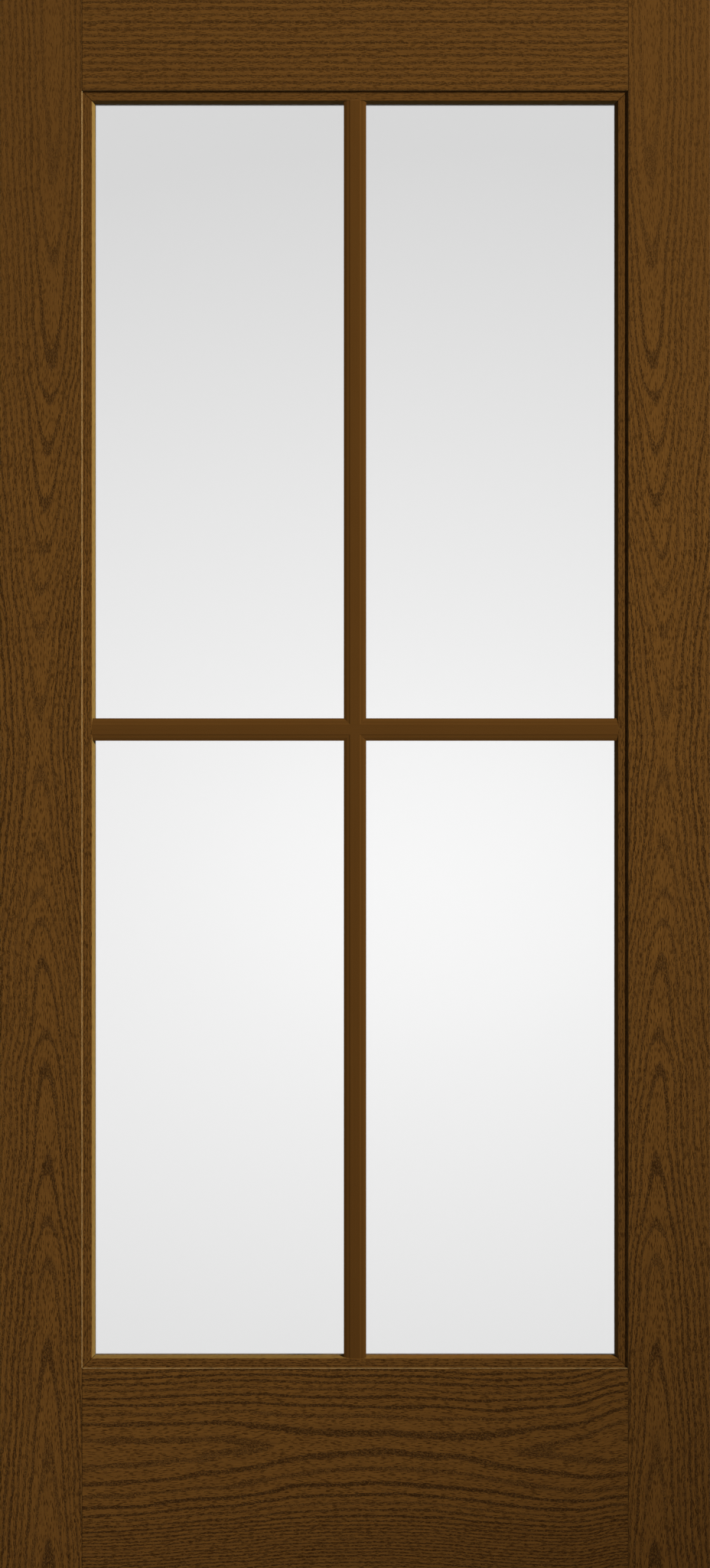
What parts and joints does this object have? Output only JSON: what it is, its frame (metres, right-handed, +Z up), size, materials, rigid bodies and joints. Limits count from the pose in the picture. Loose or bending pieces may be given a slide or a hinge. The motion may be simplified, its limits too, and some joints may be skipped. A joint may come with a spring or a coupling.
{
  "type": "glazed fiberglass door leaf",
  "caption": "Brown oak-grained fiberglass entrance door leaf: moulded skins on a framed core, with a tall insulated glass opening, mitred beads and crossed glazing bars.",
  "frame": {"origin": "foot of the hinge edge, at mid thickness", "axes": "+X from the hinge edge to the lock edge, -Y out of the outdoor face, +Z up"},
  "size_m": [0.9081, 0.0444, 2.0066],
  "materials": {
    "oak_grain_skin": "satin brown stain over moulded oak grain",
    "oak_grain_bead": "satin brown stain over moulded oak grain",
    "bar_brown": "smooth satin brown with faint streaks along its length",
    "clear_glass": "clear float glass",
    "spacer_metal": "mill aluminium with rows of small perforations",
    "glazing_tape": "dark brown foam glazing tape",
    "setting_rubber": "matt black rubber",
    "laminated_timber": "unfinished laminated veneer",
    "edge_hardwood": "brown stained hardwood",
    "liner_timber": "unfinished softwood",
    "composite_rail": "tan moulded composite, slightly rough",
    "core_foam": "pale yellow rigid foam"
  },
  "bodies": {
    "root": {"bottom_rail": "composite_rail", "exterior_bead_bottom": "oak_grain_bead", "exterior_bead_hinge_side": "oak_grain_bead", "exterior_bead_lock_side": "oak_grain_bead", "exterior_bead_top": "oak_grain_bead", "exterior_cross_bar": "bar_brown", "exterior_lower_bar": "bar_brown", "exterior_pane": "clear_glass", "exterior_skin": "oak_grain_skin", "exterior_tape": "glazing_tape", "exterior_upper_bar": "bar_brown", "foam_core": "core_foam", "hinge_edge_strip": "edge_hardwood", "hinge_stile": "laminated_timber", "interior_bead_bottom": "oak_grain_bead", "interior_bead_hinge_side": "oak_grain_bead", "interior_bead_lock_side": "oak_grain_bead", "interior_bead_top": "oak_grain_bead", "interior_cross_bar": "bar_brown", "interior_lower_bar": "bar_brown", "interior_pane": "clear_glass", "interior_skin": "oak_grain_skin", "interior_tape": "glazing_tape", "interior_upper_bar": "bar_brown", "liner_bottom": "liner_timber", "liner_hinge_side": "liner_timber", "liner_lock_side": "liner_timber", "liner_top": "liner_timber", "lock_edge_strip": "edge_hardwood", "lock_stile": "laminated_timber", "setting_block_hinge_side": "setting_rubber", "setting_block_lock_side": "setting_rubber", "spacer_frame": "spacer_metal", "top_rail": "composite_rail"}
  },
  "joints": []
}
